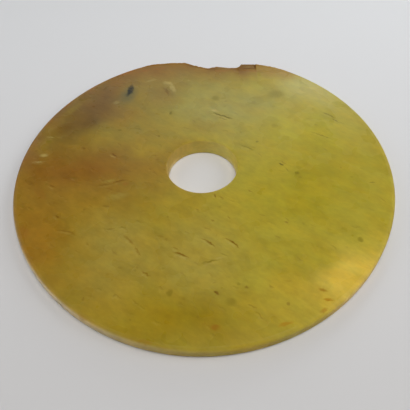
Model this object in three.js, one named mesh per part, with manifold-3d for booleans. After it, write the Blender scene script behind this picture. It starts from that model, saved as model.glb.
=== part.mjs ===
// Plain bi: a flat polished stone ring with a round bore and a broken stretch of rim.
// Millimetres, +Z up. It lies on its flat underside, and the broken rim faces +Y.
// The origin is the middle of the footprint's bounding box, on the underside.
import * as THREE from 'three';
import { mergeVertices } from 'three/addons/utils/BufferGeometryUtils.js';
import Module from 'manifold-3d';

// Driving dimensions of the ring
const discRadius = 75;
const rimThickness = 4.4;
const boreThickness = 6.8;
const boreRadiusTop = 14.05;
const boreRadiusBottom = 13.55;
const boreOffset = new THREE.Vector2(-0.3, 0);
const rimRounding = 1.2;
const boreRounding = 0.5;
const crownPower = 1.5;

// The hand-ground outline strays from a circle by low lobes: how many, how high and at what angle
const outlineLobes = [
  { count: 2, height: 0.41, angle: 84 },
  { count: 3, height: 0.27, angle: 30 },
  { count: 4, height: 0.13, angle: 0 },
];

// The break in plan, on the top face: a worn shoulder, the deep bite with its step, and a worn stretch
const breakLine = [
  [-24, 71.3], [-15, 71.5], [-6.7, 71.1],
  [-3.7, 69.2], [-0.4, 67.6], [4.1, 65.7], [8.3, 66.9], [13.8, 65.6], [17.9, 65.4], [19.4, 67.4], [21, 70.4],
  [26.5, 69.6], [27.6, 68], [36, 64.9], [45, 60.7],
];
const breakLean = 0.45;

// The flake scar beside the break: a ledge that falls from the top face to the rim's middle
const scarStart = 18.6;
const scarEnd = 27.6;
const scarInnerEdge = 64.4;
const scarDropAngle = 19.4;

// Fineness of the facets
const turnSteps = 128;
const roundingSteps = 4;
const faceSteps = 6;
const cutterReach = 12;

const stone = new THREE.MeshStandardMaterial({ color: 0x9c8a33, roughness: 0.32, metalness: 0 });

const wasm = await Module();
wasm.setup();

// Height of the top face: full at the bore, thinning towards the rim
function topHeight(radius) {
  const outward = (radius - boreRadiusTop) / (discRadius - boreRadiusTop);
  const fall = Math.pow(THREE.MathUtils.clamp(outward, 0, 1), crownPower);
  return THREE.MathUtils.lerp(boreThickness, rimThickness, fall);
}

// Points of a rounded edge, between two angles in degrees
function arcPoints(centreRadius, centreHeight, rounding, fromDegrees, toDegrees) {
  const points = [];
  for (let step = 0; step <= roundingSteps; step += 1) {
    const degrees = THREE.MathUtils.lerp(fromDegrees, toDegrees, step / roundingSteps);
    const angle = THREE.MathUtils.degToRad(degrees);
    const radius = centreRadius + rounding * Math.cos(angle);
    const height = centreHeight + rounding * Math.sin(angle);
    points.push(new THREE.Vector2(radius, height));
  }
  return points;
}

// Closed section of the ring: underside, rim, crowned top face and bore wall
function ringProfile() {
  const rimInner = discRadius - rimRounding;
  const boreOuter = boreRadiusTop + boreRounding;
  const boreFoot = boreRadiusBottom + boreRounding;
  const profile = arcPoints(rimInner, rimRounding, rimRounding, -90, 0);
  profile.push(...arcPoints(rimInner, rimThickness - rimRounding, rimRounding, 0, 90));
  for (let step = 1; step < faceSteps; step += 1) {
    const radius = THREE.MathUtils.lerp(rimInner, boreOuter, step / faceSteps);
    profile.push(new THREE.Vector2(radius, topHeight(radius)));
  }
  profile.push(...arcPoints(boreOuter, boreThickness - boreRounding, boreRounding, 90, 180));
  profile.push(...arcPoints(boreFoot, boreRounding, boreRounding, 180, 270));
  profile.push(profile[0].clone());
  return profile;
}

// How far the ground outline stands out from the true circle at an angle
function outlineStray(angle) {
  let stray = 0;
  for (const lobe of outlineLobes) {
    stray += lobe.height * Math.cos(lobe.count * (angle - THREE.MathUtils.degToRad(lobe.angle)));
  }
  return stray;
}

// Turns the section into a ring, then works the outline out of round and sets the bore off centre
function ringGeometry() {
  const geometry = new THREE.LatheGeometry(ringProfile(), turnSteps);
  geometry.rotateX(Math.PI / 2);
  const places = geometry.attributes.position;
  for (let index = 0; index < places.count; index += 1) {
    const x = places.getX(index);
    const y = places.getY(index);
    const radius = Math.hypot(x, y);
    const angle = Math.atan2(y, x);
    const outward = THREE.MathUtils.smoothstep(radius, boreRadiusTop, discRadius);
    const worked = radius + outward * outlineStray(angle);
    places.setX(index, worked * Math.cos(angle) + (1 - outward) * boreOffset.x);
    places.setY(index, worked * Math.sin(angle) + (1 - outward) * boreOffset.y);
  }
  return geometry;
}

// Everything outside the break line, through the whole thickness, leaning out towards the underside
function breakCutter() {
  const [firstX, firstY] = breakLine[0];
  const [lastX, lastY] = breakLine[breakLine.length - 1];
  const outside = discRadius + cutterReach;
  const shape = new THREE.Shape();
  shape.moveTo(firstX - cutterReach, outside);
  shape.lineTo(firstX - cutterReach, firstY);
  for (const [x, y] of breakLine) {
    shape.lineTo(x, y);
  }
  shape.lineTo(lastX + cutterReach, lastY);
  shape.lineTo(lastX + cutterReach, outside);
  const depth = boreThickness + 2 * cutterReach;
  const geometry = new THREE.ExtrudeGeometry(shape, { depth, bevelEnabled: false });
  geometry.translate(0, 0, -cutterReach);
  geometry.applyMatrix4(new THREE.Matrix4().makeShear(0, 0, 0, 0, 0, -breakLean));
  return geometry.translate(0, breakLean * rimThickness, 0);
}

// A wedge above the ledge, extruded along the rim
function scarCutter() {
  const innerRadius = Math.hypot(scarInnerEdge, (scarStart + scarEnd) / 2);
  const innerHeight = topHeight(innerRadius);
  const run = discRadius + cutterReach - scarInnerEdge;
  const drop = run * Math.tan(THREE.MathUtils.degToRad(scarDropAngle));
  const side = new THREE.Shape();
  side.moveTo(scarInnerEdge, innerHeight);
  side.lineTo(scarInnerEdge + run, innerHeight - drop);
  side.lineTo(scarInnerEdge + run, innerHeight + cutterReach);
  side.lineTo(scarInnerEdge, innerHeight + cutterReach);
  const geometry = new THREE.ExtrudeGeometry(side, { depth: scarEnd - scarStart, bevelEnabled: false });
  const alongY = new THREE.Vector3(0, 1, 0);
  const alongZ = new THREE.Vector3(0, 0, 1);
  const alongX = new THREE.Vector3(1, 0, 0);
  geometry.applyMatrix4(new THREE.Matrix4().makeBasis(alongY, alongZ, alongX));
  return geometry.translate(scarStart, 0, 0);
}

// Makes a solid from a closed geometry
function solidFrom(geometry) {
  geometry.deleteAttribute('normal');
  geometry.deleteAttribute('uv');
  const merged = mergeVertices(geometry);
  const vertProperties = new Float32Array(merged.attributes.position.array);
  const triVerts = new Uint32Array(merged.index.array);
  return new wasm.Manifold(new wasm.Mesh({ numProp: 3, vertProperties, triVerts }));
}

// Makes a geometry from a solid
function geometryFrom(solid) {
  const { vertProperties, triVerts } = solid.getMesh();
  const geometry = new THREE.BufferGeometry();
  geometry.setAttribute('position', new THREE.BufferAttribute(new Float32Array(vertProperties), 3));
  geometry.setIndex(new THREE.BufferAttribute(new Uint32Array(triVerts), 1));
  geometry.computeVertexNormals();
  return geometry;
}

// The disc: the ring less what the break and the flake took, moved so that its footprint is centred
function discMesh() {
  const ring = solidFrom(ringGeometry());
  const broken = ring.subtract(solidFrom(breakCutter())).subtract(solidFrom(scarCutter()));
  const geometry = geometryFrom(broken);
  geometry.computeBoundingBox();
  const middle = geometry.boundingBox.getCenter(new THREE.Vector3());
  geometry.translate(-middle.x, -middle.y, 0);
  const mesh = new THREE.Mesh(geometry, stone);
  mesh.name = 'bi_disc';
  return mesh;
}

const part = new THREE.Group();
part.name = 'agate_bi_disc';
part.add(discMesh());

export default part;
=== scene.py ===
import math

import bpy
import numpy as np
from mathutils import Matrix, Vector


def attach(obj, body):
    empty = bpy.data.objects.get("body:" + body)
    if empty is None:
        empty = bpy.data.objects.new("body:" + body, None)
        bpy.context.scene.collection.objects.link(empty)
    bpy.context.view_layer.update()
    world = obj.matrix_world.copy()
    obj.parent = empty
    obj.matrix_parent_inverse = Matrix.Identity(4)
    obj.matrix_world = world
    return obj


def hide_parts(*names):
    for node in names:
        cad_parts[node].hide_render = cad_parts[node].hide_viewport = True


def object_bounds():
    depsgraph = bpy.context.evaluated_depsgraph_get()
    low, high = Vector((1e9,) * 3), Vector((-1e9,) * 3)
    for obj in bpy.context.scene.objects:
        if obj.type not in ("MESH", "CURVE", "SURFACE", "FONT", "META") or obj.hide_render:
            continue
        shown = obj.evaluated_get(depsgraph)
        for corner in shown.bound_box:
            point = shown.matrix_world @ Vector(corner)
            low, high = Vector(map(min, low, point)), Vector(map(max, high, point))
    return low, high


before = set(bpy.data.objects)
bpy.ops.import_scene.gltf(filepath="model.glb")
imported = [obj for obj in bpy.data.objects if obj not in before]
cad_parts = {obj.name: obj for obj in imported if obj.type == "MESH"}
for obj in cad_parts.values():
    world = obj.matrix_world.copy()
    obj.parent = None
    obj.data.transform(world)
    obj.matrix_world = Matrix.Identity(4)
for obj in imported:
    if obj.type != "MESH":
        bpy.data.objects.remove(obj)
cad_low, cad_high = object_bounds()

# Sizes of the disc in millimetres, the same as in the solid
MM = 0.001
DISC_RADIUS = 75.0
RIM_THICKNESS = 4.4
BORE_THICKNESS = 6.8
BORE_RADIUS_TOP = 14.05
BORE_RADIUS_BOTTOM = 13.55
BORE_OFFSET_X = -0.3
RIM_ROUNDING = 1.2
BORE_ROUNDING = 0.5
CROWN_POWER = 1.5

# Low lobes by which the outline strays from a circle: how many, how high and at what angle in degrees
OUTLINE_LOBES = ((2, 0.41, 84), (3, 0.27, 30), (4, 0.13, 0))

# The break in the far rim, as a line in plan
BREAK_LINE = (
    (-31, 69.4), (-22, 70.9), (-14, 71.5), (-6.7, 71.1), (-3.7, 69.2), (-0.4, 67.6),
    (4.1, 65.7), (8.3, 66.9), (13.8, 65.6), (17.9, 65.4), (19.2, 66.9), (20.4, 69.9),
    (26.6, 69.4), (27.2, 68.1), (31, 67.1), (36, 65.1), (47, 59.8),
)

# The break's wall: how it leans, wavers and is hollowed, and how softly it runs into the whole rim
BREAK_LEAN = 0.45
BREAK_FADE = 0.8
BREAK_EDGE_ROUNDING = 0.25
BREAK_WAVER = 0.1
BREAK_WAVER_LENGTH = 2.4
BREAK_HOLLOWS = 0.35
BREAK_HOLLOW_LENGTH = 2.6
BREAK_HOLLOW_SQUEEZE = 1.4
SHOULDER_BLEND = 0.6

# The flake scar at the break's right: a ledge that falls outwards, and cuts a margin inside its inner edge
SCAR_START = 18.6
SCAR_END = 27.2
SCAR_INNER_EDGE = 64.4
SCAR_MARGIN = 3
SCAR_DROP = math.tan(math.radians(14))
SCAR_RAMP = 0.5
SCAR_WAVER = 0.05
SCAR_WAVER_LENGTH = 3

# Random fields are sums of this many waves, with lengths that vary between these factors
RIPPLE_WAVES = 7
RIPPLE_LENGTHS = (0.7, 1.4)

# Seeds of the random fields and draws
BREAK_SEED = 31
SCAR_SEED = 32
HOLLOW_SEED = 33
STRAY_SEEDS_X = (11, 12)
STRAY_SEEDS_Y = (13, 14)
STAIN_SEED = 15
HAIR_SEED = 7

# How finely the surface is cut up: columns by degrees, and rows on each stretch of the section
FINE_SECTOR = (50, 114)
FINE_STEP = 0.25
COARSE_STEP = 0.75
INNER_TOP_SHARE = 0.78
INNER_TOP_ROWS = 46
OUTER_TOP_ROWS = 25
WALL_ROWS = 10
UNDERSIDE_ROWS = 36
BORE_ROWS = 7
ROUNDING_STEPS = 5

# Edges that turn by more than this, in degrees, are shaded sharp
SHARP_ANGLE = 40

# The camera, in millimetres from the middle of the underside, and its turn in degrees
CAMERA_PLACE = (0, -136.3, 151.2)
CAMERA_YAW = 0.12
CAMERA_PITCH = 51.2
CAMERA_ROLL = -1.98
CAMERA_NEAR = 10
FRAME_PIXELS = 410
FOCAL_PIXELS = 500
SENSOR_WIDTH = 36

# The pale floor: its width, its colour near the camera and far off, painted darker near the camera as
# painted shade, where that changes, and its roughness
FLOOR_WIDTH = 6000
FLOOR_NEAR_PAINTED_SHADE = (0.66, 0.65, 0.65, 1)
FLOOR_FAR = (0.86, 0.865, 0.88, 1)
FLOOR_PAINTED_SHADE_FADE = (-170, 150)
FLOOR_ROUGHNESS = 0.8

# The room's tint, its glow at the horizon and overhead, and the height in degrees where overhead starts
ROOM_TINT = (0.97, 0.98, 1, 1)
HORIZON_GLOW = 0.25
ZENITH_GLOW = 0.03
HORIZON_FADE = 35

# Soft lights that face the disc: name, place and spread in millimetres, power in watts and colour
LIGHTS = (
    ("far_panel", (300, 610, 180), (260, 240), 1.05, (0.86, 0.94, 1)),
    ("far_fill", (0, 610, 410), (450, 400), 0.4, (0.86, 0.94, 1)),
    ("top_fill", (40, -190, 740), (500, 460), 3.2, (1, 0.98, 0.95)),
    ("right_panel", (570, -40, 420), (400, 400), 1.3, (1, 1, 1)),
    ("left_fill", (-570, 100, 420), (400, 400), 0.6, (0.98, 0.98, 1)),
)

# Colours of the stone, as red, green and blue out of 255
OLIVE = (178, 161, 50)
OCHRE = (160, 126, 36)
DEEP_OCHRE = (155, 128, 5)
AMBER = (145, 102, 34)
DEEP_AMBER = (160, 113, 28)
KHAKI = (172, 153, 69)
GREY_OLIVE = (168, 157, 84)
TAN = (151, 127, 50)
GOLD = (184, 159, 46)
PAINTED_GLOW_HONEY = (218, 188, 74)
LEMON = (190, 177, 48)
STRAW = (198, 188, 106)
MOSS = (168, 153, 0)
BROWN = (130, 99, 52)
UMBER = (117, 89, 42)
SEPIA = (132, 94, 56)
CINNAMON = (141, 98, 70)
RUST_BROWN = (112, 70, 4)
SIENNA = (149, 108, 31)
SCAR_BROWN = (126, 86, 22)
CHESTNUT = (145, 102, 36)
SAFFRON = (167, 132, 26)
RUST = (114, 74, 0)
RUSSET = (118, 84, 0)
GINGER = (130, 90, 0)
DEEP_OLIVE = (114, 100, 0)
TAWNY = (156, 110, 0)
APRICOT = (176, 124, 0)
CREAM = (204, 186, 116)
SAGE = (124, 112, 0)
SLATE = (112, 106, 66)
PERSIMMON = (162, 102, 34)
INK = (10, 24, 26)

# Soft areas of colour: place and half-widths in plan in millimetres, turn in degrees, colour and strength
ZONES = (
    ((-62, -34), (95, 75), 0, OCHRE, 1),
    ((-52, 3), (80, 33), 0, AMBER, 1),
    ((-64, -30), (30, 20), -60, DEEP_AMBER, 0.7),
    ((-32, -35), (18, 24), 0, KHAKI, 0.75),
    ((-8, -68), (46, 22), 4, DEEP_OCHRE, 0.9),
    ((-4, -42), (30, 26), 0, KHAKI, 0.6),
    ((36, -12), (30, 28), 0, MOSS, 0.45),
    ((42, 22), (32, 24), 0, LEMON, 0.6),
    ((49, 45), (20, 16), -40, STRAW, 0.75),
    ((8, 36), (48, 32), 0, GREY_OLIVE, 0.9),
    ((2, 22), (14, 9), 0, OCHRE, 0.4),
    ((-34, 34), (40, 38), 0, TAN, 0.9),
    ((-34, 32), (12, 9), 0, OCHRE, 0.7),
    ((-20, 12), (8, 8), 0, GOLD, 0.4),
    ((-10, 66), (48, 26), 0, SEPIA, 0.7),
    ((-17, 47), (14, 12), 0, SEPIA, 0.4),
    ((-47.5, 43.5), (50, 23), 50, BROWN, 1),
    ((-51, 31), (26, 10), 57, UMBER, 0.8),
    ((30, -60), (30, 16), 25, GOLD, 0.9),
    # A paler honey patch near the rim at the right, towards the camera: a painted glow of light coming
    # through the thin stone
    ((48, -50.5), (26, 12.5), 34, PAINTED_GLOW_HONEY, 1.3),
)

# How far the borders of the areas and stains stray, and the length of the waves in which they do
BROAD_STRAY = 2.5
BROAD_STRAY_LENGTH = 40
FINE_STRAY = 1
FINE_STRAY_LENGTH = 14
STAIN_STRAY = 1
STAIN_STRAY_LENGTH = 9

# Stains that soaked in from the edge: sector in degrees, reach in millimetres, colour and strength
EDGE_STAINS = (
    ((55, 114), 14, SIENNA, 0.9),
    ((52, 66), 11, SAFFRON, 0.7),
    ((66, 97), 3, RUST_BROWN, 0.5),
    ((104, 128), 17, CHESTNUT, 0.85),
    ((130, 176), 8, CINNAMON, 0.5),
)
SECTOR_FADE = 5

# Points closer to the middle than this belong to the bore's edge, and others to the rim's
NEAR_BORE = 2 * BORE_RADIUS_TOP

# How much paler the thin edges are painted than the faces: a painted glow standing in for light that comes
# through them, stronger towards some sides
BORE_GLOW = 1.4
BORE_GLOW_AT_SIDES = 0.3
BORE_GLOW_TO_RIGHT = 0.2
BORE_PALING = (1, 1.04, 2.1)
RIM_GLOW = 0.98
RIM_GLOW_EXTRA = 0.45
RIM_GLOW_TURN = -124
RIM_GLOW_FOCUS = 4
RIM_PALING = (1, 0.98, 2.4)

# Painted glow in cream on the thin edges: at the rim towards one direction in degrees, and at the foot of
# the bore's two sides
PAINTED_GLOW_CREAM = (226, 206, 164)
CREAM_STEEPNESS = (0, 0.5)
RIM_CREAM = 0.9
RIM_CREAM_TURN = -138
RIM_CREAM_FOCUS = 6
BORE_CREAM = 0.85
BORE_CREAM_SIDES = (0.6, 0.95)
BORE_CREAM_HEIGHTS = (2.6, 0.6)

# Where edges are worn dull: between two insets from the rim, and between two degrees of steepness
RIM_WEAR = (RIM_ROUNDING + 0.4, RIM_ROUNDING - 0.1)
STEEP_WEAR = (0.003, 0.03)

# Strength of the gloss, roughness of the polished faces, and how much duller worn edges are
GLOSS = 0.3
POLISH = (0.25, 0.32)
WORN_DULLNESS = 0.5

# Light within the stone: its share, how far each colour goes compared, and its depth in millimetres
INNER_LIGHT = 0.3
INNER_LIGHT_SPREAD = (1, 0.75, 0.2)
INNER_LIGHT_DEPTH = 3

# Random patterns in the stone: scale for each millimetre, and detail
CLOUDS = (0.1, 2)
STREAKS = (0.3, 3)
GRAIN = (0.9, 3)
WARMTH = (0.16, 4)
WOBBLE = (0.7, 2)

# How the streaks and the grain lie, in degrees, and how they are drawn out
GRAIN_TURN = 34
GRAIN_STRETCH = (0.55, 1, 1)

# The stretches of a pattern's values over which it takes effect, for lightness and for hue and polish
TONE_RANGE = (0.25, 0.75)
HUE_RANGE = (0.3, 0.7)

# How much the patterns lighten and darken the stone
CLOUD_SWING = 0.05
STREAK_SWING = 0.08
GRAIN_SWING = 0.055

# The grain's relief: its height in millimetres and its strength
GRAIN_HEIGHT = 0.2
GRAIN_RELIEF = 0.05

# Slight shifts of hue through the stone, as factors of red, green and blue
GREENER = (0.975, 1.012, 1.1, 1)
WARMER = (1.025, 0.988, 0.9, 1)

# Veins, cracks and flecks: place, half-length, half-width, turn in degrees, bend, colour and strength
MARKS = (
    ((-33, 47), 8.5, 5, 82, 0, SLATE, 0.8),
    ((-32.2, 50.4), 6, 1.9, 80, 0.02, INK, 1.05),
    ((-15, 54.6), 3.6, 1.5, -25, 0, CREAM, 0.5),
    ((-12.8, 50.8), 5, 1.6, -72, 0.02, CREAM, 0.5),
    ((-15.4, 48.8), 4.4, 1.1, -62, -0.06, RUSSET, 0.6),
    ((-66, -28), 5, 2.4, -60, 0, PERSIMMON, 0.4),
    ((-63, -10), 5.5, 2, -50, 0, PERSIMMON, 0.3),
    ((-67, 31), 6, 1.8, 68, 0, PERSIMMON, 0.35),
    ((-60.5, 43), 6, 1.7, 56, 0, PERSIMMON, 0.4),
    ((-49, 56), 6, 1.8, 48, 0, PERSIMMON, 0.35),
    ((-35, 64.5), 6, 1.8, 30, 0, PERSIMMON, 0.55),
    ((-27, 65.6), 5, 1.1, 18, 0, PERSIMMON, 0.5),
    ((-19, 67), 5, 1.2, 8, 0, PERSIMMON, 0.55),
    ((11, 63.2), 6, 1.2, 0, 0, PERSIMMON, 0.4),
    ((25, 62.6), 6.5, 1.3, -12, 0, PERSIMMON, 0.5),
    # The dark RUST_BROWN lines along the scar's inner edge and down its right end are painted shade where
    # the ledge steps down
    ((23, 65.3), 4.4, 0.6, 0, 0, RUST_BROWN, 1.2),
    ((23.6, 67), 3, 0.9, 0, 0, CREAM, 0.3),
    ((26.9, 66.8), 2.2, 0.45, -85, 0, RUST_BROWN, 0.9),
    ((-23, 57.5), 4, 0.8, 18, -0.04, CREAM, 0.3),
    ((-38, 42), 2.2, 1.6, 0, 0, CREAM, 0.22),
    ((-57, 39.5), 6, 2.4, 52, 0, KHAKI, 0.25),
    ((-13.3, 32.5), 1.6, 1, 80, 0, DEEP_OLIVE, 1),
    ((-18, 17.7), 0.9, 0.5, -45, 0, DEEP_OLIVE, 0.8),
    ((-27, 23.2), 2.6, 0.45, -24, -0.05, DEEP_OLIVE, 0.7),
    ((-34.7, 23), 1.2, 0.8, 0, 0, DEEP_OLIVE, 0.7),
    ((-49, 13.2), 1.4, 0.6, -36, 0, RUST, 0.8),
    ((-35.8, 8), 2.4, 0.5, -41, 0, RUST, 1.3),
    ((-64.5, 21.4), 2.6, 0.5, -12, 0, CREAM, 0.5),
    ((-64.5, 18.8), 1.8, 1.1, 0, 0, SAGE, 0.5),
    ((-65.3, 10.6), 2.4, 1.5, 0, 0, CREAM, 0.55),
    ((-67.3, 7), 4, 0.5, -5, 0, CREAM, 0.5),
    ((-60.5, 25.5), 8, 4, 35, 0, RUST, 0.4),
    ((7.2, 30.4), 3, 0.55, -33, 0, DEEP_OLIVE, 1.5),
    ((11, 28.4), 3.6, 0.55, -30, 0, DEEP_OLIVE, 1.5),
    ((9.5, 27.4), 2.6, 0.4, -24, 0, DEEP_OLIVE, 0.7),
    ((6, 33), 2.8, 0.8, -25, 0, CREAM, 0.8),
    ((34.5, 43.7), 5.2, 4.2, 0, 0, SAGE, 0.55),
    ((6.8, 41.8), 2.6, 2.2, 0, 0, SAGE, 0.65),
    ((23.4, 38), 1.8, 1.3, 0, 0, RUSSET, 0.3),
    ((55.6, 28.8), 4.2, 0.5, -40, 0, DEEP_OLIVE, 1),
    ((57.6, 25.4), 2.4, 0.5, -50, 0, DEEP_OLIVE, 0.8),
    ((50, 15.8), 6.5, 0.42, -30, 0, DEEP_OLIVE, 0.75),
    ((18.2, 9.3), 4.8, 0.5, -31, 0, DEEP_OLIVE, 0.75),
    ((22.7, 12.5), 1, 0.8, 0, 0, DEEP_OLIVE, 0.65),
    ((31, 22), 2.2, 1.6, 0, 0, DEEP_OLIVE, 0.4),
    ((10, 19.5), 1.8, 0.7, -20, 0, DEEP_OLIVE, 0.4),
    ((31, -0.6), 1.4, 0.7, -40, 0, DEEP_OLIVE, 1.5),
    ((33, -3.4), 2.2, 0.4, -52, 0, DEEP_OLIVE, 0.4),
    ((36.6, -5.3), 1.4, 1.3, 0, 0, DEEP_OLIVE, 0.75),
    ((65, -10.4), 2.1, 0.35, 0, 0, DEEP_OLIVE, 0.6),
    ((-38, -7.8), 4, 0.5, 7, 0.02, RUSSET, 0.6),
    ((-32.4, -6.3), 4, 0.6, 10, -0.04, RUST, 0.75),
    ((-30, -8), 1.8, 1.4, 0, 0, PERSIMMON, 0.45),
    ((-36.4, -10.1), 1.2, 1, 0, 0, PERSIMMON, 0.35),
    ((-37, -6), 3.4, 0.9, 12, 0, KHAKI, 0.5),
    ((-29.8, -1.2), 2.7, 0.6, -24, 0, RUST, 0.4),
    ((-21.5, -15.9), 1.8, 1.4, 0, 0, DEEP_OLIVE, 0.25),
    ((-41.3, -14.4), 1.4, 1, -30, 0, DEEP_OLIVE, 0.3),
    ((-36, -11), 2, 0.4, 38, 0, RUST, 0.2),
    ((-33, -14), 6, 2.4, 8, 0, KHAKI, 0.5),
    ((-59, -6.7), 2.2, 0.5, -40, 0, RUST, 0.6),
    ((-68, -7), 1.3, 0.5, -20, 0, RUST, 0.3),
    ((-54.6, -22), 1.5, 0.5, -42, 0, RUST, 0.65),
    ((-50, -29), 5.6, 0.4, -20, -0.03, RUST, 0.55),
    ((-36, -29.3), 2.2, 0.45, -50, 0, RUSSET, 0.25),
    ((-27.2, -34), 4, 0.55, -47, 0, GINGER, 0.6),
    ((-23.8, -39), 3, 0.5, -58, 0, GINGER, 0.55),
    ((-16, -33.2), 2.2, 0.4, -14, 0, RUSSET, 0.35),
    ((-10.6, -38.5), 1.4, 0.45, -32, 0, GINGER, 0.7),
    ((-8.4, -41.1), 4, 0.48, -28, -0.03, GINGER, 0.95),
    ((-20.6, -48.1), 2.4, 0.45, -34, 0, GINGER, 0.8),
    ((-38.5, -55.3), 1.8, 0.45, -21, 0, RUSSET, 0.25),
    ((-12.4, -55.6), 2, 1.4, 80, 0, DEEP_OLIVE, 0.55),
    ((1, -36.4), 4.2, 0.45, -38, -0.03, GINGER, 0.85),
    ((9.4, -36.9), 4.4, 0.45, -41, -0.045, GINGER, 0.95),
    ((1.4, -44.2), 4.4, 0.45, 12, -0.02, DEEP_OLIVE, 0.6),
    ((4.6, -43), 2, 0.5, 4, 0, CREAM, 0.35),
    ((-6.5, -32.1), 1.5, 0.4, -40, 0, RUSSET, 0.4),
    ((3, -56.1), 1.5, 0.8, -36, 0, RUST, 0.8),
    ((13, -54.5), 0.9, 0.6, -20, 0, RUST, 0.7),
    ((7.6, -59.6), 2.6, 2, 0, 0, DEEP_OLIVE, 0.4),
    ((54.6, -36.9), 1.5, 1.3, 0, 0, DEEP_OLIVE, 0.55),
    ((38, -56.3), 2.1, 0.8, -16, 0, TAWNY, 0.7),
    ((39.3, -59.8), 2.4, 0.8, -6, 0, APRICOT, 0.8),
    ((37, -63.4), 2, 0.9, 30, 0, APRICOT, 0.6),
    ((27, -52.5), 2.2, 0.35, -4, 0, RUSSET, 0.25),
    ((24.2, -67.6), 3.6, 0.9, 16, 0, APRICOT, 0.6),
    ((2, -68), 2.1, 1.3, 0, 0, TAWNY, 0.9),
    ((-20, -71.8), 3.5, 1, -15, 0, TAWNY, 0.5),
    ((-40.5, -62.6), 2.4, 0.8, -35, 0, TAWNY, 0.4),
    ((29.5, -29), 0.9, 0.7, 0, 0, RUST, 0.5),
    ((2.9, -27.2), 1.1, 0.5, -27, 0, RUSSET, 0.5),
    ((8.8, -26.2), 1.2, 0.4, -45, 0, RUSSET, 0.4),
    ((4.3, -15.9), 1.2, 0.45, -68, 0, RUST, 1),
)

# How far beyond its half-length and half-width a mark can be painted, in millimetres
MARK_MARGIN = 1.8

# How marks are painted: soft edges, sideways wobble in millimetres, and gaps where the grain breaks them
MARK_EDGE = (0.3, 1)
MARK_WOBBLE = (-0.5, 0.5)
MARK_GAPS = (0.35, 0.6)
MARK_GAP_STRENGTH = (0.65, 1)

# The pale line beside thin cracks: how far off in half-widths, how strong, and which marks are thin
PALE_LINE_OFFSET = 2
PALE_LINE_STRENGTH = 0.25
PALE_LINE_THINNESS = (1.5, 1.9)

# Faint hair cracks and flecks strewn over the face: how many, in which ring, and their turn with its spread
HAIR_COUNT = 190
HAIR_RING = (17, 71)
HAIR_TURN = (-33, 13)
HAIR_HALF_LENGTH = (0.6, 2.6)
HAIR_HALF_WIDTH = (0.28, 0.42)
HAIR_BEND = 0.04
HAIR_STRENGTH = (0.2, 0.45)
HAIR_TINTS = (RUSSET, RUST, DEEP_OLIVE)

# Hair cracks no longer than this are flecks, which are wider
FLECK_HALF_LENGTH = 1.2
FLECK_HALF_WIDTH = (0.4, 0.8)

# The share of hair cracks kept at the right, and between which places, on a slant, it grows to all
HAIR_FEWEST = 0.25
HAIR_FADE = (45, -25)
HAIR_FADE_SLANT = 0.4


def smooth(low, high, value):
    """A soft step from 0 at low to 1 at high."""
    share = np.clip((value - low) / (high - low), 0, 1)
    return share * share * (3 - 2 * share)


def ripple(x, y, wavelength, seed):
    """A smooth random field of about -1 to 1, made of a few seeded waves."""
    draw = np.random.default_rng(seed)
    field = np.zeros(np.broadcast(x, y).shape)
    for _ in range(RIPPLE_WAVES):
        heading = draw.uniform(0, 2 * math.pi)
        length = wavelength * draw.uniform(*RIPPLE_LENGTHS)
        phase = draw.uniform(0, 2 * math.pi)
        field += np.sin((x * math.cos(heading) + y * math.sin(heading)) * 2 * math.pi / length + phase)
    return field / math.sqrt(RIPPLE_WAVES)


def along_and_across(x, y, middle, turn):
    """Each point's distances from a middle, along a direction in degrees and across it."""
    cosine = math.cos(math.radians(turn))
    sine = math.sin(math.radians(turn))
    along = (x - middle[0]) * cosine + (y - middle[1]) * sine
    across = (y - middle[1]) * cosine - (x - middle[0]) * sine
    return along, across


def linear(colour):
    """A colour out of 255 as the linear values that shaders use, by the sRGB curve."""
    share = np.array(colour) / 255
    return np.where(share <= 0.04045, share / 12.92, ((share + 0.055) / 1.055) ** 2.4)


def outline_radius(angles):
    """The rim's radius, a little out of round."""
    radius = np.full_like(angles, DISC_RADIUS)
    for count, height, turn in OUTLINE_LOBES:
        radius += height * np.cos(count * (angles - math.radians(turn)))
    return radius


def break_radius(angles, shift):
    """Radius of the break line, moved out along +Y by shift, and far out where there is none."""
    radius = np.full_like(angles, 2 * DISC_RADIUS)
    across = np.cos(angles)
    along = np.sin(angles)
    waver = BREAK_WAVER * ripple(angles * DISC_RADIUS, 0, BREAK_WAVER_LENGTH, BREAK_SEED)
    for (x0, y0), (x1, y1) in zip(BREAK_LINE, BREAK_LINE[1:]):
        low = y0 + shift
        high = y1 + shift
        between = (angles <= np.arctan2(low, x0)) & (angles >= np.arctan2(high, x1))
        reach = (x0 * high - low * x1) / (across * (high - low) - along * (x1 - x0))
        radius = np.where(between, reach + waver, radius)
    return radius


def wall_radius(angles, height):
    """Radius of the rim's wall at a height: the outline, worn softly into the leaning break inside it."""
    outline = outline_radius(angles)
    break_wall = break_radius(angles, BREAK_LEAN * (RIM_THICKNESS - height))
    overlap = np.clip(1 - np.abs(outline - break_wall) / SHOULDER_BLEND, 0, 1)
    return np.minimum(outline, break_wall) - SHOULDER_BLEND / 4 * overlap ** 2


def brokenness(angles):
    """0 where the rim is whole, 1 where the break has taken its edge."""
    return smooth(0, BREAK_FADE, outline_radius(angles) - break_radius(angles, 0))


def top_height(radius, angles):
    """Height of the upper face: the crown towards the bore, cut by the scar's falling ledge."""
    share = np.clip((radius - BORE_RADIUS_TOP) / (DISC_RADIUS - BORE_RADIUS_TOP), 0, 1)
    crown = BORE_THICKNESS + (RIM_THICKNESS - BORE_THICKNESS) * share ** CROWN_POWER
    x = radius * np.cos(angles)
    y = radius * np.sin(angles)
    waver = SCAR_WAVER * ripple(x, y, SCAR_WAVER_LENGTH, SCAR_SEED)
    ledge = RIM_THICKNESS - SCAR_DROP * (y - SCAR_INNER_EDGE) + waver
    within = (x > SCAR_START) * (y > SCAR_INNER_EDGE - SCAR_MARGIN)
    cut = within * smooth(SCAR_END, SCAR_END - SCAR_RAMP, x)
    return crown + (np.minimum(crown, ledge) - crown) * cut


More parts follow.
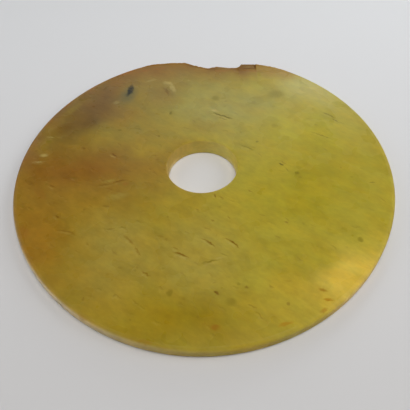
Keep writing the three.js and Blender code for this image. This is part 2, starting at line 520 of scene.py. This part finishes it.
def column_angles():
    """Directions of the grid's columns, closer together around the break."""
    fine = np.arange(FINE_SECTOR[0], FINE_SECTOR[1], FINE_STEP)
    coarse = np.arange(FINE_SECTOR[1], FINE_SECTOR[0] + 360, COARSE_STEP)
    angles = np.radians(np.concatenate([fine, coarse]))
    return (angles + math.pi) % (2 * math.pi) - math.pi


def steps(count):
    """Even shares up to 1, without the 0 that they start from."""
    return np.linspace(0, 1, count)[1:]


def quarter_turn():
    """The turns of a rounded edge, without the 0 that they start from."""
    return steps(ROUNDING_STEPS + 1) * math.pi / 2


def rim_edge(angles):
    """The rounding of the rim's edges, and the radius and height of its upper one, in every direction."""
    rounding = RIM_ROUNDING + (BREAK_EDGE_ROUNDING - RIM_ROUNDING) * brokenness(angles)
    height = top_height(wall_radius(angles, RIM_THICKNESS), angles)
    height = top_height(wall_radius(angles, height), angles)
    radius = wall_radius(angles, height - rounding)
    return rounding, radius, top_height(radius - rounding, angles)


def top_rows(angles, rounding, edge):
    """The upper face, from the bore's edge to the rim's, with closer rows towards the rim."""
    start = BORE_RADIUS_TOP + BORE_ROUNDING
    inner = np.linspace(0, INNER_TOP_SHARE, INNER_TOP_ROWS)
    outer = np.linspace(INNER_TOP_SHARE, 1, OUTER_TOP_ROWS)[1:]
    for share in np.concatenate([inner, outer]):
        radius = start + (edge - rounding - start) * share
        yield radius, top_height(radius, angles)


def rim_rows(angles, rounding, edge, edge_height):
    """The rim's upper rounding, its wall, hollowed where it is broken, and its lower rounding."""
    for turn in quarter_turn():
        radius = edge - rounding + rounding * math.sin(turn)
        yield radius, edge_height - rounding + rounding * math.cos(turn)
    broken = brokenness(angles)
    arc = angles * DISC_RADIUS
    for share in steps(WALL_ROWS):
        height = (edge_height - rounding) * (1 - share) + rounding * share
        field = ripple(arc, BREAK_HOLLOW_SQUEEZE * height, BREAK_HOLLOW_LENGTH, HOLLOW_SEED)
        hollow = BREAK_HOLLOWS * broken * math.sin(math.pi * share) * (0.5 + 0.5 * field)
        yield wall_radius(angles, height) - hollow, height
    foot = wall_radius(angles, rounding)
    for turn in quarter_turn():
        radius = foot - rounding + rounding * math.cos(turn)
        yield radius, rounding - rounding * math.sin(turn)


def underside_rows(angles, rounding):
    """The flat underside, from the rim to the bore."""
    start = wall_radius(angles, rounding) - rounding
    end = BORE_RADIUS_BOTTOM + BORE_ROUNDING
    for share in steps(UNDERSIDE_ROWS):
        yield start * (1 - share) + end * share, np.zeros_like(angles)


def bore_section():
    """The bore's lower rounding, its wall and its upper rounding, the same in every direction."""
    foot = BORE_RADIUS_BOTTOM + BORE_ROUNDING
    for turn in quarter_turn():
        yield foot - BORE_ROUNDING * math.sin(turn), BORE_ROUNDING - BORE_ROUNDING * math.cos(turn)
    for share in steps(BORE_ROWS):
        radius = BORE_RADIUS_BOTTOM * (1 - share) + BORE_RADIUS_TOP * share
        yield radius, BORE_ROUNDING * (1 - share) + (BORE_THICKNESS - BORE_ROUNDING) * share
    edge = BORE_RADIUS_TOP + BORE_ROUNDING
    for turn in quarter_turn()[:-1]:
        height = BORE_THICKNESS - BORE_ROUNDING + BORE_ROUNDING * math.sin(turn)
        yield edge - BORE_ROUNDING * math.cos(turn), height


def disc_rows(angles):
    """Radius and height of each row of points, from the bore over the top, round the rim and back."""
    rounding, edge, edge_height = rim_edge(angles)
    rows = list(top_rows(angles, rounding, edge))
    rows.extend(rim_rows(angles, rounding, edge, edge_height))
    rows.extend(underside_rows(angles, rounding))
    for radius, height in bore_section():
        rows.append((np.full_like(angles, radius), np.full_like(angles, height)))
    return np.array([row[0] for row in rows]), np.array([row[1] for row in rows])


def ring_faces(row_count, column_count):
    """Quads of a closed ring grid, facing out."""
    row = np.arange(row_count)[:, None]
    column = np.arange(column_count)[None, :]
    next_row = (row + 1) % row_count
    next_column = (column + 1) % column_count
    corners = (
        row * column_count + column,
        next_row * column_count + column,
        next_row * column_count + next_column,
        row * column_count + next_column,
    )
    return np.stack(corners, axis=-1).reshape(-1, 4)


def sector_share(angles, start, end):
    """1 inside a sector of directions in degrees, fading out at both of its ends."""
    degrees = np.degrees(angles) % 360
    rise = smooth(start - SECTOR_FADE, start + SECTOR_FADE, degrees)
    return rise * smooth(end + SECTOR_FADE, end - SECTOR_FADE, degrees)


def on_scar(x, y):
    """Whether each point lies on the flake scar, in plan."""
    return (x > SCAR_START) & (x < SCAR_END) & (y > SCAR_INNER_EDGE)


def edge_inset(x, y):
    """How far inside the rim or the break each point lies, in plan."""
    from_rim = outline_radius(np.arctan2(y, x)) - np.hypot(x, y)
    break_y = np.interp(x, [point[0] for point in BREAK_LINE], [point[1] for point in BREAK_LINE])
    behind_scar = (x > SCAR_START) & (x < SCAR_END)
    break_y = np.where(behind_scar, np.minimum(break_y, SCAR_INNER_EDGE), break_y)
    return np.minimum(from_rim, break_y - y)


def stray(x, y, broad_seed, fine_seed):
    """How far the borders of the areas stray at each point."""
    broad = BROAD_STRAY * ripple(x, y, BROAD_STRAY_LENGTH, broad_seed)
    return broad + FINE_STRAY * ripple(x, y, FINE_STRAY_LENGTH, fine_seed)


def laid_over(colour, tint, share):
    """A colour with a tint laid over it, by a share at each point."""
    cover = share[..., None]
    return colour * (1 - cover) + linear(tint) * cover


def zone_colour(x, y):
    """The stone's broad colour at each point: soft areas, one of them a painted glow, and edge stains over
    the olive body.
    """
    strayed_x = x + stray(x, y, *STRAY_SEEDS_X)
    strayed_y = y + stray(x, y, *STRAY_SEEDS_Y)
    colour = np.ones(x.shape + (3,)) * linear(OLIVE)
    for middle, (half_along, half_across), turn, tint, strength in ZONES:
        along, across = along_and_across(strayed_x, strayed_y, middle, turn)
        share = smooth(1, 0, np.hypot(along / half_along, across / half_across))
        colour = laid_over(colour, tint, np.minimum(1, strength * share))
    angles = np.arctan2(y, x)
    inset = edge_inset(x, y) + STAIN_STRAY * ripple(x, y, STAIN_STRAY_LENGTH, STAIN_SEED)
    for sector, reach, tint, strength in EDGE_STAINS:
        share = sector_share(angles, *sector) * smooth(reach, 0, inset)
        colour = laid_over(colour, tint, strength * share)
    colour[on_scar(x, y)] = linear(SCAR_BROWN)
    return colour


def wear_share(x, y, upright):
    """How worn each point is, from 0 on the faces to 1 on the walls and along the rim."""
    along_rim = smooth(*RIM_WEAR, edge_inset(x, y)) * np.logical_not(on_scar(x, y))
    return np.maximum(smooth(*STEEP_WEAR, upright), along_rim)


def painted_edge_glow(x, y, upright):
    """Factors of red, green and blue by which each point's colour is painted paler than the faces: a
    painted glow of light through the thin edges.
    """
    radius = np.hypot(x, y)
    angles = np.arctan2(y, x)
    at_bore = radius < NEAR_BORE
    bore_glow = BORE_GLOW + (BORE_GLOW_AT_SIDES * np.abs(x) + BORE_GLOW_TO_RIGHT * x) / radius
    towards = np.maximum(0, np.cos(angles - math.radians(RIM_GLOW_TURN)))
    rim_glow = RIM_GLOW + RIM_GLOW_EXTRA * towards ** RIM_GLOW_FOCUS
    bore_tint = bore_glow[..., None] * np.array(BORE_PALING)
    rim_tint = rim_glow[..., None] * np.array(RIM_PALING)
    glow = np.where(at_bore[..., None], bore_tint, rim_tint)
    broken = brokenness(angles) * np.logical_not(at_bore)
    return 1 + (glow - 1) * (upright * (1 - broken))[..., None]


def painted_glow_share(x, y, height, upright):
    """How far each point of the thin edges is painted cream, as a painted glow of light through them."""
    radius = np.hypot(x, y)
    towards = np.maximum(0, np.cos(np.arctan2(y, x) - math.radians(RIM_CREAM_TURN)))
    at_rim = RIM_CREAM * towards ** RIM_CREAM_FOCUS
    at_sides = smooth(*BORE_CREAM_SIDES, np.abs(x) / radius)
    at_bore = BORE_CREAM * at_sides * smooth(*BORE_CREAM_HEIGHTS, height)
    return smooth(*CREAM_STEEPNESS, upright) * np.where(radius < NEAR_BORE, at_bore, at_rim)


def hair_cracks():
    """Many faint cracks and flecks, placed by a seeded draw, most along the grain and on the left."""
    draw = np.random.default_rng(HAIR_SEED)
    cracks = []
    while len(cracks) < HAIR_COUNT:
        x, y = draw.uniform(-DISC_RADIUS, DISC_RADIUS, 2)
        half_length = draw.uniform(*HAIR_HALF_LENGTH)
        widths = HAIR_HALF_WIDTH if half_length > FLECK_HALF_LENGTH else FLECK_HALF_WIDTH
        half_width = draw.uniform(*widths)
        turn = draw.normal(*HAIR_TURN)
        bend = draw.normal(0, HAIR_BEND)
        strength = draw.uniform(*HAIR_STRENGTH)
        tint = HAIR_TINTS[draw.integers(len(HAIR_TINTS))]
        in_ring = HAIR_RING[0] < math.hypot(x, y) < HAIR_RING[1]
        to_left = smooth(*HAIR_FADE, x + HAIR_FADE_SLANT * y)
        if in_ring and draw.random() < HAIR_FEWEST + (1 - HAIR_FEWEST) * to_left:
            cracks.append(((x, y), half_length, half_width, turn, bend, tint, strength))
    return cracks


def mark_layers():
    """Shares the marks and hair cracks out over layers, so that no two in one layer lie near each other."""
    layers = []
    for mark in [*MARKS, *hair_cracks()]:
        reach = mark[1] + 2 * MARK_MARGIN
        for layer in layers:
            if all(math.dist(mark[0], other[0]) > reach + other[1] for other in layer):
                layer.append(mark)
                break
        else:
            layers.append([mark])
    return layers


def mark_coordinates(layer, x, y, on_top):
    """Each point's place in its nearest mark, in half-lengths and half-widths, and that mark's tint."""
    place = np.zeros(x.shape + (3,))
    tint = np.zeros(x.shape + (4,))
    gap_to_nearest = np.full(x.shape, np.inf)
    for middle, half_length, half_width, turn, bend, colour, strength in layer:
        along, across = along_and_across(x, y, middle, turn)
        across = across - bend * along ** 2
        gap = np.hypot(x - middle[0], y - middle[1]) - half_length
        nearest = gap < gap_to_nearest
        gap_to_nearest = np.minimum(gap, gap_to_nearest)
        beside = np.abs(across) < half_width + MARK_MARGIN
        painted = nearest & on_top & beside & (np.abs(along) < half_length + MARK_MARGIN)
        thinness = np.full_like(x, 1 / half_width)
        local = np.stack([along / half_length, across / half_width, thinness], axis=-1)
        place[nearest] = local[nearest]
        tint[nearest] = (*linear(colour), 0)
        tint[painted, 3] = strength
    return place, tint


def keep_values(mesh, name, kind, values):
    """Stores one value for each vertex under a name that the material reads."""
    attribute = mesh.attributes.new(name, kind, "POINT")
    entry = {"FLOAT": "value", "FLOAT_COLOR": "color", "FLOAT_VECTOR": "vector"}[kind]
    attribute.data.foreach_set(entry, values.astype(np.float32).ravel())


def steepness(mesh):
    """For each vertex, 0 where the surface lies level and 1 where it stands upright."""
    normals = np.empty(3 * len(mesh.vertices), dtype=np.float32)
    mesh.vertices.foreach_get("normal", normals)
    return 1 - np.abs(normals.reshape(-1, 3)[:, 2])


def disc_mesh(x, y, height):
    """The closed mesh of the disc, from its grid of points in millimetres."""
    points = np.stack([x, y, height], axis=-1).reshape(-1, 3) * MM
    mesh = bpy.data.meshes.new("stone_disc")
    mesh.from_pydata(points.tolist(), [], ring_faces(*x.shape).tolist())
    mesh.shade_smooth()
    mesh.set_sharp_from_angle(angle=math.radians(SHARP_ANGLE))
    return mesh


def colour_disc(mesh, layers, x, y, height):
    """Stores the colours of the zones with the painted glow of the thin edges, the marks, and the wear,
    with the mesh.
    """
    upright = steepness(mesh).reshape(x.shape)
    cream = painted_glow_share(x, y, height, upright)
    # The zone colours take the painted glow of the thin edges, paler and cream
    zones = laid_over(zone_colour(x, y) * painted_edge_glow(x, y, upright), PAINTED_GLOW_CREAM, cream)
    opaque = np.ones(x.shape + (1,))
    keep_values(mesh, "zone", "FLOAT_COLOR", np.concatenate([zones, opaque], axis=-1))
    keep_values(mesh, "wear", "FLOAT", wear_share(x, y, upright))
    for number, layer in enumerate(layers):
        place, tint = mark_coordinates(layer, x, y, height > RIM_THICKNESS / 2)
        keep_values(mesh, f"mark_place_{number}", "FLOAT_VECTOR", place)
        keep_values(mesh, f"mark_tint_{number}", "FLOAT_COLOR", tint)


class Graph:
    """Short calls that add shader nodes and join them."""

    def __init__(self, material):
        material.use_nodes = True
        self.tree = material.node_tree
        self.shader = self.tree.nodes["Principled BSDF"]

    def add(self, kind, inputs=(), **settings):
        node = self.tree.nodes.new(kind)
        for name, value in settings.items():
            setattr(node, name, value)
        for name, value in dict(inputs).items():
            self.feed(node.inputs[name], value)
        return node

    def feed(self, socket, value):
        # A socket is linked, and any other value is set
        if isinstance(value, bpy.types.NodeSocket):
            self.tree.links.new(value, socket)
        else:
            socket.default_value = value

    def maths(self, operation, first, second):
        return self.add("ShaderNodeMath", {0: first, 1: second}, operation=operation).outputs[0]

    def noise(self, place, scale, detail):
        sockets = {"Vector": place, "Scale": scale, "Detail": detail}
        return self.add("ShaderNodeTexNoise", sockets).outputs["Fac"]

    def remap(self, value, from_range, to_range):
        sockets = {
            "Value": value,
            "From Min": from_range[0],
            "From Max": from_range[1],
            "To Min": to_range[0],
            "To Max": to_range[1],
        }
        return self.add("ShaderNodeMapRange", sockets, interpolation_type="SMOOTHSTEP").outputs["Result"]

    def mix(self, share, first, second):
        # The colour sockets of a mix node are its inputs 6 and 7 and its output 2
        node = self.add("ShaderNodeMix", data_type="RGBA")
        self.feed(node.inputs["Factor"], share)
        self.feed(node.inputs[6], first)
        self.feed(node.inputs[7], second)
        return node.outputs[2]

    def scaled(self, colour, factor):
        return self.add("ShaderNodeVectorMath", {0: colour, "Scale": factor}, operation="SCALE").outputs[0]

    def product(self, first, second):
        return self.add("ShaderNodeVectorMath", {0: first, 1: second}, operation="MULTIPLY").outputs[0]

    def attribute(self, name):
        return self.add("ShaderNodeAttribute", attribute_name=name)


def swing(amount):
    """The least and the greatest factor of a tone that varies by an amount."""
    return 1 - amount, 1 + amount


def grain_place(graph, place):
    """Places turned and drawn out along the stone's grain."""
    turn = (0, 0, math.radians(GRAIN_TURN))
    turned = graph.add("ShaderNodeMapping", {"Vector": place, "Rotation": turn}).outputs[0]
    return graph.add("ShaderNodeMapping", {"Vector": turned, "Scale": GRAIN_STRETCH}).outputs[0]


def stone_tone(graph, clouds, streaks, grain):
    """The stone's lightness as a factor: soft clouds, streaks and fine grain."""
    tone = graph.remap(clouds, TONE_RANGE, swing(CLOUD_SWING))
    tone = graph.maths("MULTIPLY", tone, graph.remap(streaks, TONE_RANGE, swing(STREAK_SWING)))
    return graph.maths("MULTIPLY", tone, graph.remap(grain, TONE_RANGE, swing(GRAIN_SWING)))


def mark_paint(graph, number, colour, wobble, gaps):
    """Lays one layer of marks over a colour, with uneven edges and, beside thin cracks, a pale line."""
    place = graph.attribute(f"mark_place_{number}").outputs["Vector"]
    local = graph.add("ShaderNodeSeparateXYZ", {0: place}).outputs
    tint = graph.attribute(f"mark_tint_{number}").outputs
    across = graph.maths("ADD", local["Y"], graph.maths("MULTIPLY", wobble, local["Z"]))
    strength = graph.maths("MULTIPLY", gaps, tint["Alpha"])
    beside = graph.maths("ADD", across, PALE_LINE_OFFSET)
    thin = graph.remap(local["Z"], PALE_LINE_THINNESS, (0, PALE_LINE_STRENGTH))
    pale_line = (beside, graph.maths("MULTIPLY", strength, thin), (*linear(CREAM), 1))
    mark_itself = (across, strength, tint["Color"])
    for distance_across, share, paint in (pale_line, mark_itself):
        span = graph.add("ShaderNodeCombineXYZ", {"X": local["X"], "Y": distance_across}).outputs[0]
        distance = graph.add("ShaderNodeVectorMath", {0: span}, operation="LENGTH").outputs["Value"]
        cover = graph.maths("MULTIPLY", graph.remap(distance, MARK_EDGE, (1, 0)), share)
        colour = graph.mix(cover, colour, paint)
    return colour


def stone_material(layer_count):
    """Cloudy translucent stone: zones of colour, a varied tone and hue, and the layers of marks."""
    material = bpy.data.materials.new("agate")
    graph = Graph(material)
    place = graph.scaled(graph.add("ShaderNodeTexCoord").outputs["Object"], 1 / MM)
    along_grain = grain_place(graph, place)
    clouds = graph.noise(place, *CLOUDS)
    grain = graph.noise(along_grain, *GRAIN)
    tone = stone_tone(graph, clouds, graph.noise(along_grain, *STREAKS), grain)
    colour = graph.scaled(graph.attribute("zone").outputs["Color"], tone)
    warmth = graph.remap(graph.noise(along_grain, *WARMTH), HUE_RANGE, (0, 1))
    colour = graph.product(colour, graph.mix(warmth, GREENER, WARMER))
    wobble = graph.remap(graph.noise(place, *WOBBLE), (0, 1), MARK_WOBBLE)
    gaps = graph.remap(grain, MARK_GAPS, MARK_GAP_STRENGTH)
    for number in range(layer_count):
        colour = mark_paint(graph, number, colour, wobble, gaps)
    dullness = graph.maths("MULTIPLY", graph.attribute("wear").outputs["Fac"], WORN_DULLNESS)
    roughness = graph.maths("ADD", graph.remap(clouds, HUE_RANGE, POLISH), dullness)
    relief = {"Height": grain, "Strength": GRAIN_RELIEF, "Distance": GRAIN_HEIGHT * MM}
    sockets = graph.shader.inputs
    graph.feed(sockets["Base Color"], colour)
    graph.feed(sockets["Roughness"], roughness)
    graph.feed(sockets["Normal"], graph.add("ShaderNodeBump", relief).outputs["Normal"])
    sockets["Specular IOR Level"].default_value = GLOSS
    sockets["Subsurface Weight"].default_value = INNER_LIGHT
    sockets["Subsurface Radius"].default_value = INNER_LIGHT_SPREAD
    sockets["Subsurface Scale"].default_value = INNER_LIGHT_DEPTH * MM
    return material


def stone_disc(layers, centre_y):
    """The whole disc as one piece, with its colours and its material."""
    angles = column_angles()
    radius, height = disc_rows(angles)
    outward = smooth(BORE_RADIUS_TOP, DISC_RADIUS, radius)
    x = radius * np.cos(angles) + BORE_OFFSET_X * (1 - outward)
    y = radius * np.sin(angles)
    mesh = disc_mesh(x, y + centre_y, height)
    colour_disc(mesh, layers, x, y, height)
    mesh.materials.append(stone_material(len(layers)))
    disc = bpy.data.objects.new("stone_disc", mesh)
    bpy.context.collection.objects.link(disc)
    return disc


def make_floor():
    """The pale floor that the disc lies on, painted darker towards the camera as painted shade."""
    bpy.ops.mesh.primitive_plane_add(size=FLOOR_WIDTH * MM)
    floor = bpy.context.object
    floor.name = "floor"
    material = bpy.data.materials.new("pale_floor")
    graph = Graph(material)
    place = graph.add("ShaderNodeTexCoord").outputs["Object"]
    along = graph.add("ShaderNodeSeparateXYZ", {0: place}).outputs["Y"]
    # Painted shade: the floor's colour darkens towards the camera
    share = graph.remap(along, (FLOOR_PAINTED_SHADE_FADE[0] * MM, FLOOR_PAINTED_SHADE_FADE[1] * MM), (0, 1))
    graph.feed(graph.shader.inputs["Base Color"], graph.mix(share, FLOOR_NEAR_PAINTED_SHADE, FLOOR_FAR))
    graph.shader.inputs["Roughness"].default_value = FLOOR_ROUGHNESS
    floor.data.materials.append(material)


def make_light(name, place, spread, power, colour):
    """A soft rectangular light that faces the disc and doesn't show itself."""
    lamp = bpy.data.lights.new(name, "AREA")
    lamp.shape = "RECTANGLE"
    lamp.size = spread[0] * MM
    lamp.size_y = spread[1] * MM
    lamp.energy = power
    lamp.color = colour
    light = bpy.data.objects.new(name, lamp)
    light.location = Vector(place) * MM
    light.rotation_euler = (-light.location).to_track_quat("-Z", "Y").to_euler()
    light.visible_camera = False
    bpy.context.collection.objects.link(light)


def make_world():
    """A dim room that is pale towards the horizon."""
    world = bpy.data.worlds.new("soft_room")
    world.use_nodes = True
    tree = world.node_tree
    coordinates = tree.nodes.new("ShaderNodeTexCoord")
    split = tree.nodes.new("ShaderNodeSeparateXYZ")
    fade = tree.nodes.new("ShaderNodeMapRange")
    fade.interpolation_type = "SMOOTHSTEP"
    fade.inputs["From Max"].default_value = math.sin(math.radians(HORIZON_FADE))
    fade.inputs["To Min"].default_value = HORIZON_GLOW
    fade.inputs["To Max"].default_value = ZENITH_GLOW
    background = tree.nodes["Background"]
    background.inputs["Color"].default_value = ROOM_TINT
    tree.links.new(coordinates.outputs["Generated"], split.inputs["Vector"])
    tree.links.new(split.outputs["Z"], fade.inputs["Value"])
    tree.links.new(fade.outputs["Result"], background.inputs["Strength"])
    bpy.context.scene.world = world


def make_camera(centre_y):
    """A camera at the photograph's viewing angle."""
    yaw = math.radians(CAMERA_YAW)
    pitch = math.radians(CAMERA_PITCH)
    roll = math.radians(CAMERA_ROLL)
    forward = Vector((math.sin(yaw) * math.cos(pitch), math.cos(yaw) * math.cos(pitch), -math.sin(pitch)))
    level = Vector((math.cos(yaw), -math.sin(yaw), 0))
    upright = level.cross(forward)
    right = level * math.cos(roll) + upright * math.sin(roll)
    up = upright * math.cos(roll) - level * math.sin(roll)
    lens = bpy.data.cameras.new("camera")
    lens.sensor_width = SENSOR_WIDTH
    lens.lens = SENSOR_WIDTH * FOCAL_PIXELS / FRAME_PIXELS
    lens.clip_start = CAMERA_NEAR * MM
    camera = bpy.data.objects.new("camera", lens)
    turn = Matrix((right, up, -forward)).transposed().to_4x4()
    place = Vector(CAMERA_PLACE) + Vector((0, centre_y, 0))
    camera.matrix_world = Matrix.Translation(place * MM) @ turn
    bpy.context.collection.objects.link(camera)
    bpy.context.scene.camera = camera


# The middle of the ring, set back from the solid's near side by the outline's reach there
near_reach = outline_radius(np.array([-math.pi / 2]))[0]
centre_y = cad_low.y / MM + near_reach

disc = stone_disc(mark_layers(), centre_y)
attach(disc, "root")
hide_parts("bi_disc")

make_floor()
make_world()
for light in LIGHTS:
    make_light(*light)
make_camera(centre_y)
bpy.context.scene.view_settings.view_transform = "Standard"
